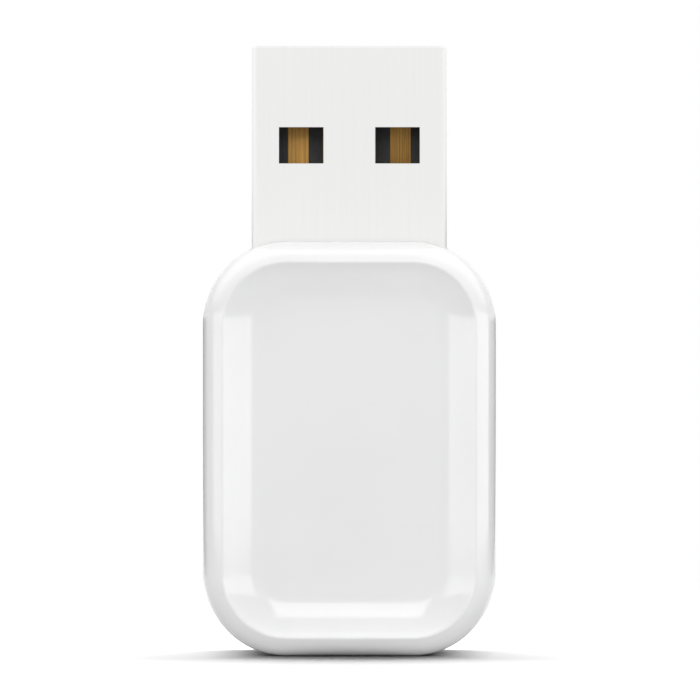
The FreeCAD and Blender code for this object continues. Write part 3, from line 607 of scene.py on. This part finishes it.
def blend(tree, factor, low, high):
    """Low where the factor is 0 and high where it is 1; each is a number or an output."""
    mix = tree.nodes.new("ShaderNodeMix")
    tree.links.new(factor, mix.inputs["Factor"])
    for socket, value in (("A", low), ("B", high)):
        if isinstance(value, float):
            mix.inputs[socket].default_value = value
        else:
            tree.links.new(value, mix.inputs[socket])
    return mix.outputs["Result"]


def fade_in(tree, place, stretch, start, full):
    """0 up to start metres from the middle and 1 from full on, over an oval along X."""
    oval = tree.nodes.new("ShaderNodeVectorMath")
    oval.operation = "MULTIPLY"
    oval.inputs[1].default_value = (stretch, 1, 1)
    tree.links.new(place, oval.inputs[0])
    reach = tree.nodes.new("ShaderNodeVectorMath")
    reach.operation = "LENGTH"
    tree.links.new(oval.outputs["Vector"], reach.inputs[0])
    fade = tree.nodes.new("ShaderNodeMapRange")
    fade.interpolation_type = "SMOOTHSTEP"
    fade.inputs["From Min"].default_value = start
    fade.inputs["From Max"].default_value = full
    tree.links.new(reach.outputs["Value"], fade.inputs["Value"])
    return fade.outputs["Result"]


# The floor, with its size and distances in metres
FLOOR_SIZE = 20
FLOOR_ROUGHNESS = 0.8
# The floor's tone to the background rays and to the others
FLOOR_TONE = 0.6
FLOOR_BOUNCE = 0.26
# It turns white to the background rays over these distances
WHITE_START, WHITE_FULL = 0.01, 0.08
# Beyond an oval round the stick's foot it gives this even light to what is matte
BOUNCE_LEVEL = 0.55
BOUNCE_START, BOUNCE_FULL = 0.003, 0.005
FOOT_STRETCH = 0.47


def make_floor():
    """A pale floor, white to the background rays, that keeps the stick's shadow."""
    deselect()
    bpy.ops.mesh.primitive_plane_add(size=FLOOR_SIZE)
    floor = take_new("floor")
    material = bpy.data.materials.new("floor")
    material.use_nodes = True
    tree = material.node_tree
    sees = background_rays(tree)
    shader = tree.nodes["Principled BSDF"]
    tree.links.new(blend(tree, sees, FLOOR_BOUNCE, FLOOR_TONE), shader.inputs["Base Color"])
    shader.inputs["Roughness"].default_value = FLOOR_ROUGHNESS
    shader.inputs["Specular IOR Level"].default_value = 0.0
    glow = tree.nodes.new("ShaderNodeEmission")
    tree.links.new(blend(tree, sees, BOUNCE_LEVEL, 1.0), glow.inputs["Strength"])
    place = tree.nodes.new("ShaderNodeTexCoord").outputs["Object"]
    share = blend(tree, sees, fade_in(tree, place, FOOT_STRETCH, BOUNCE_START, BOUNCE_FULL),
                  fade_in(tree, place, 1, WHITE_START, WHITE_FULL))
    both = tree.nodes.new("ShaderNodeMixShader")
    tree.links.new(share, both.inputs["Fac"])
    tree.links.new(shader.outputs[0], both.inputs[1])
    tree.links.new(glow.outputs[0], both.inputs[2])
    tree.links.new(both.outputs[0], tree.nodes["Material Output"].inputs["Surface"])
    floor.data.materials.append(material)
    return floor


# Cards beside and behind the stick: their tone, and where they end in millimetres
CARD_TONE = 0.03
CARD_FOOT, CARD_TOP, CARD_END = -1, 23, 600


def add_card(name, inner, outer, start):
    """A thin upright card between two places on X that only the stick's gloss sees."""
    card = add_block(name, (inner, start, CARD_FOOT), (outer, CARD_END, CARD_TOP))
    material = bpy.data.materials.new(name)
    material.use_nodes = True
    shader = material.node_tree.nodes["Principled BSDF"]
    shader.inputs["Base Color"].default_value = (CARD_TONE, CARD_TONE, CARD_TONE, 1)
    shader.inputs["Roughness"].default_value = 1.0
    shader.inputs["Specular IOR Level"].default_value = 0.0
    card.data.materials.append(material)
    card.visible_camera = False
    card.visible_diffuse = False
    card.visible_shadow = False


finishes = dress_nodes()
front, floor_level = front_profile()
pieces = [
    install(make_cover("front_housing", -1, front, floor_level - DISH_WALL), "front_cover",
            "housing_white", finishes),
    install(make_cover("rear_housing", 1, rear_profile(), REAR_DEPTH - WALL), "rear_cover",
            "housing_white", finishes),
    install(make_plug_sleeve(), "plug_shell", "plug_steel", finishes),
]

make_camera()
make_world()
floor = make_floor()

# What the lamps light
nodes = frame["nodes"]
in_plug = [name for name in nodes if name.startswith(("plug_", "contact_"))]
housing_parts = gather("housing_parts", [nodes[name] for name in nodes if name not in in_plug],
                       pieces[:2])
plug_parts = gather("plug_parts", [nodes[name] for name in in_plug], pieces[2:])
sleeve_parts = gather("sleeve_parts", [nodes["plug_shell"]], pieces[2:])
left_contacts = [nodes["contact_power"], nodes["contact_data_minus"]]
right_contacts = [nodes["contact_data_plus"], nodes["contact_ground"]]
left_window_parts = gather("left_window_parts", [nodes["plug_insulator"]], left_contacts)
right_window_parts = gather("right_window_parts", right_contacts)
floor_parts = gather("floor_parts", [floor])

add_softbox("right_softbox", (19, 98), (-8, 12), 0.11, 2.35, housing_parts, matte=False)
add_softbox("left_softbox", (-84, -22), (-8, 12), 0.11, 2.0, housing_parts, matte=False)
add_softbox("front_softbox", (-9, 9), (7, 38), 0.7, 3.0, housing_parts)
add_softbox("top_softbox", (-72, 72), (74, 130), 0.3, 1.25, housing_parts, matte=False)
add_softbox("top_fill", (-72, 72), (58, 112), 0.34, 1.85, housing_parts, gloss=False)
add_softbox("right_fill", (19, 98), (-8, 12), 0.125, 1.1, housing_parts, gloss=False)
add_softbox("left_fill", (-114, -22), (-8, 12), 0.125, 0.58, housing_parts, gloss=False)
add_softbox("front_fill", (-40, 40), (-2, 14), 0.3, 2.68, housing_parts, gloss=False)
add_softbox("back_fill", (135, 225), (-2, 60), 0.4, 1.2, housing_parts, gloss=False)
add_softbox("plug_softbox", (-50, 50), (2, 62), 0.3, 0.43, plug_parts)
add_softbox("plug_foot_softbox", (-50, 50), (-8, 10), 0.035, 0.5, sleeve_parts)
add_softbox("plug_top_softbox", (-50, 50), (62, 130), 0.3, 0.3, sleeve_parts)
add_softbox("plug_left_softbox", (-114, -50), (-8, 50), 0.3, 0.48, plug_parts)
add_softbox("plug_right_softbox", (50, 114), (-8, 50), 0.3, 0.48, plug_parts)
add_softbox("plug_left_rear_softbox", (-170, -114), (-8, 50), 0.3, 0.35, sleeve_parts)
add_softbox("plug_right_rear_softbox", (114, 170), (-8, 50), 0.3, 0.45, sleeve_parts)
add_softbox("window_softbox", (-40, 20), (15, 60), 0.3, 4.5, left_window_parts)
add_softbox("right_window_softbox", (-40, 20), (15, 60), 0.32, 1.0, right_window_parts)
add_softbox("floor_softbox", (-68, 68), (92, 128), 0.3, 8.95, floor_parts)
add_card("right_card", 70, 70.1, 12)
add_card("left_card", -60.1, -60, 30)

bpy.context.scene.view_settings.view_transform = "Standard"
deselect()
